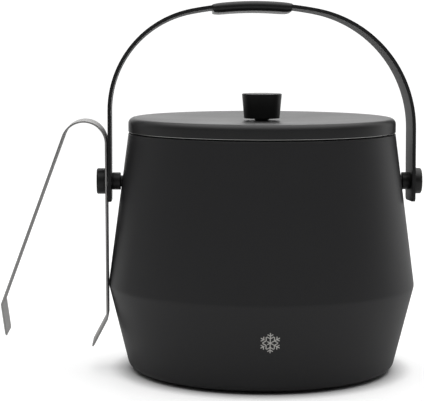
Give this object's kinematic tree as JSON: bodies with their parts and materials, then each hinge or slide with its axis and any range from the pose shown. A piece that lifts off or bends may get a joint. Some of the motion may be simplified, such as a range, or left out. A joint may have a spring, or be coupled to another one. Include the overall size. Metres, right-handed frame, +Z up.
{
  "type": "ice bucket",
  "caption": "Double-walled two-cone ice bucket with a shallow dished lid and knob, a band bail handle with a moulded grip, and sprung ice tongs hung on the handle stud.",
  "frame": {"origin": "centre of the bucket's footprint, on the table plane under the anti-slip pad", "axes": "+Z up along the bucket's axis, X along the handle pivots with the tongs at -X, -Y is the front"},
  "size_m": [0.2742, 0.1998, 0.24],
  "materials": {
    "coated_steel": "matt charcoal powder coat",
    "lid_coat": "satin charcoal powder coat",
    "band_coat": "matt black powder coat",
    "black_moulding": "fine matt moulding",
    "grip_moulding": "soft satin moulding",
    "silicone": "matt",
    "nylon": "matt black",
    "stainless": "satin stainless",
    "fixing_steel": "turned steel",
    "tongs_steel": "brushed stainless",
    "brass": "machined"
  },
  "bodies": {
    "bucket": {"outer_shell": "coated_steel", "inner_liner": "stainless", "base_plate": "coated_steel", "base_pad": "silicone", "weld_bush_left": "fixing_steel", "weld_bush_right": "fixing_steel", "pivot_boss_left": "black_moulding", "pivot_boss_right": "black_moulding", "pivot_washer_left": "nylon", "pivot_washer_right": "nylon", "pivot_pin_left": "fixing_steel", "pivot_pin_right": "fixing_steel", "pivot_button_left": "black_moulding", "pivot_button_right": "black_moulding"},
    "lid": {"lid_cap": "lid_coat", "lid_pan": "stainless", "lid_seal": "silicone", "knob": "black_moulding", "knob_spacer": "black_moulding", "knob_insert": "brass", "knob_screw": "fixing_steel", "knob_washer": "fixing_steel"},
    "handle": {"handle_band": "band_coat", "handle_grip": "grip_moulding"},
    "tongs": {"tongs_hung_arm": "tongs_steel"},
    "tongs_jaw": {"tongs_free_arm": "tongs_steel"}
  },
  "joints": [
    {"name": "lid_lift", "type": "slide", "parent": "bucket", "child": "lid", "axis": [0, 0, 1], "range_m": [0, 0.025]},
    {"name": "handle_swing", "type": "hinge", "parent": "bucket", "child": "handle", "pos_m": [0, 0, 0.1233], "axis": [1, 0, 0], "range_deg": [-107.5, 112.5]},
    {"name": "tongs_swing", "type": "hinge", "parent": "bucket", "child": "tongs", "pos_m": [-0.1009, 0, 0.1233], "axis": [1, 0, 0], "range_deg": [-90, 90]},
    {"name": "tongs_squeeze", "type": "hinge", "parent": "tongs", "child": "tongs_jaw", "pos_m": [-0.11535, 0, 0.1621], "axis": [0, -1, 0], "range_deg": [0, 22], "stiffness_Nm_per_rad": 0.6}
  ]
}
